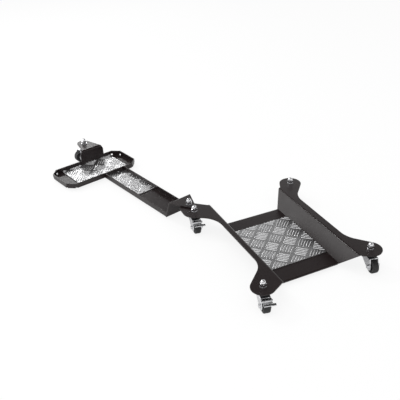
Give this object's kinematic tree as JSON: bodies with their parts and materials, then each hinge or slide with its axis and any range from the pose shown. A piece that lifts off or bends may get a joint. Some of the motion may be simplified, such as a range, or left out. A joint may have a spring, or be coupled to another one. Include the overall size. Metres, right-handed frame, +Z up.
{
  "type": "motorcycle dolly",
  "caption": "Low folded-steel wheel cradle on swivel casters, with a swinging arm that carries a tread-plate tray for the side stand.",
  "frame": {"origin": "on the floor, under the middle of the whole dolly's box at rest", "axes": "+X along the cradle's rails towards the loading end, away from the arm; +Y towards the right rail; +Z up from the floor"},
  "size_m": [0.9328, 0.5736, 0.073],
  "materials": {
    "powder_coat": "near-black semi-gloss powder coat",
    "tread_aluminium": "bright rolled five-bar tread plate",
    "bright_zinc": "bright zinc plating",
    "bearing_steel": "polished bearing balls",
    "wheel_core": "dark moulded nylon",
    "tyre_rubber": "matt black rubber"
  },
  "bodies": {
    "cradle": {"cradle_pan": "powder_coat", "cradle_tread_plate": "tread_aluminium", "left_rail": "powder_coat", "right_rail": "powder_coat", "pivot_bolt": "bright_zinc", "pivot_washer": "bright_zinc", "pivot_cap_nut": "bright_zinc", "cradle_washers": "bright_zinc", "cradle_cap_nuts": "bright_zinc", "rear_left_stem": "bright_zinc", "rear_left_balls": "bearing_steel", "front_left_stem": "bright_zinc", "front_left_balls": "bearing_steel", "rear_right_stem": "bright_zinc", "rear_right_balls": "bearing_steel", "front_right_stem": "bright_zinc", "front_right_balls": "bearing_steel"},
    "side_arm": {"hinge_bracket": "powder_coat", "arm_channel": "powder_coat", "arm_tread_strip": "tread_aluminium", "stand_tray": "powder_coat", "tray_tread_plate": "tread_aluminium", "outrigger_bracket": "powder_coat", "outrigger_washer": "bright_zinc", "outrigger_cap_nut": "bright_zinc", "outrigger_stem": "bright_zinc", "outrigger_balls": "bearing_steel"},
    "rear_left_swivel": {"rear_left_fork": "bright_zinc", "rear_left_axle_bolt": "bright_zinc", "rear_left_axle_nut": "bright_zinc", "rear_left_brake_pin": "bright_zinc"},
    "rear_left_wheel": {"rear_left_hub": "wheel_core", "rear_left_tyre": "tyre_rubber"},
    "rear_left_brake": {"rear_left_brake_pedal": "bright_zinc"},
    "front_left_swivel": {"front_left_fork": "bright_zinc", "front_left_axle_bolt": "bright_zinc", "front_left_axle_nut": "bright_zinc", "front_left_brake_pin": "bright_zinc"},
    "front_left_wheel": {"front_left_hub": "wheel_core", "front_left_tyre": "tyre_rubber"},
    "front_left_brake": {"front_left_brake_pedal": "bright_zinc"},
    "rear_right_swivel": {"rear_right_fork": "bright_zinc", "rear_right_axle_bolt": "bright_zinc", "rear_right_axle_nut": "bright_zinc"},
    "rear_right_wheel": {"rear_right_hub": "wheel_core", "rear_right_tyre": "tyre_rubber"},
    "front_right_swivel": {"front_right_fork": "bright_zinc", "front_right_axle_bolt": "bright_zinc", "front_right_axle_nut": "bright_zinc"},
    "front_right_wheel": {"front_right_hub": "wheel_core", "front_right_tyre": "tyre_rubber"},
    "outrigger_swivel": {"outrigger_fork": "bright_zinc", "outrigger_axle_bolt": "bright_zinc", "outrigger_axle_nut": "bright_zinc"},
    "outrigger_wheel": {"outrigger_hub": "wheel_core", "outrigger_tyre": "tyre_rubber"}
  },
  "joints": [
    {"name": "arm_pivot", "type": "hinge", "parent": "cradle", "child": "side_arm", "pos_m": [0.0468, -0.03135, 0.0547], "axis": [0, 0, 1], "range_deg": [-60, 60]},
    {"name": "rear_left_swivel_turn", "type": "hinge", "parent": "cradle", "child": "rear_left_swivel", "pos_m": [0.4238, -0.02965, 0.03945], "axis": [0, 0, 1], "continuous": true},
    {"name": "rear_left_wheel_spin", "type": "hinge", "parent": "rear_left_swivel", "child": "rear_left_wheel", "pos_m": [0.44134, -0.0337, 0.0175], "axis": [0.225, 0.9744, 0], "continuous": true},
    {"name": "rear_left_brake_press", "type": "hinge", "parent": "rear_left_swivel", "child": "rear_left_brake", "pos_m": [0.45157, -0.03606, 0.036], "axis": [0.225, 0.9744, 0], "range_deg": [0, 12]},
    {"name": "front_left_swivel_turn", "type": "hinge", "parent": "cradle", "child": "front_left_swivel", "pos_m": [0.0788, -0.03135, 0.03945], "axis": [0, 0, 1], "continuous": true},
    {"name": "front_left_wheel_spin", "type": "hinge", "parent": "front_left_swivel", "child": "front_left_wheel", "pos_m": [0.09653, -0.03448, 0.0175], "axis": [0.1736, 0.9848, 0], "continuous": true},
    {"name": "front_left_brake_press", "type": "hinge", "parent": "front_left_swivel", "child": "front_left_brake", "pos_m": [0.10687, -0.0363, 0.036], "axis": [0.1736, 0.9848, 0], "range_deg": [0, 12]},
    {"name": "rear_right_swivel_turn", "type": "hinge", "parent": "cradle", "child": "rear_right_swivel", "pos_m": [0.4208, 0.25485, 0.03945], "axis": [0, 0, 1], "continuous": true},
    {"name": "rear_right_wheel_spin", "type": "hinge", "parent": "rear_right_swivel", "child": "rear_right_wheel", "pos_m": [0.43853, 0.25172, 0.0175], "axis": [0.1736, 0.9848, 0], "continuous": true},
    {"name": "front_right_swivel_turn", "type": "hinge", "parent": "cradle", "child": "front_right_swivel", "pos_m": [0.0693, 0.25785, 0.03945], "axis": [0, 0, 1], "continuous": true},
    {"name": "front_right_wheel_spin", "type": "hinge", "parent": "front_right_swivel", "child": "front_right_wheel", "pos_m": [0.08684, 0.2538, 0.0175], "axis": [0.225, 0.9744, 0], "continuous": true},
    {"name": "outrigger_swivel_turn", "type": "hinge", "parent": "side_arm", "child": "outrigger_swivel", "pos_m": [-0.44259, -0.16387, 0.03945], "axis": [0, 0, 1], "continuous": true},
    {"name": "outrigger_wheel_spin", "type": "hinge", "parent": "outrigger_swivel", "child": "outrigger_wheel", "pos_m": [-0.43793, -0.18126, 0.0175], "axis": [0.9659, 0.2588, 0], "continuous": true}
  ]
}
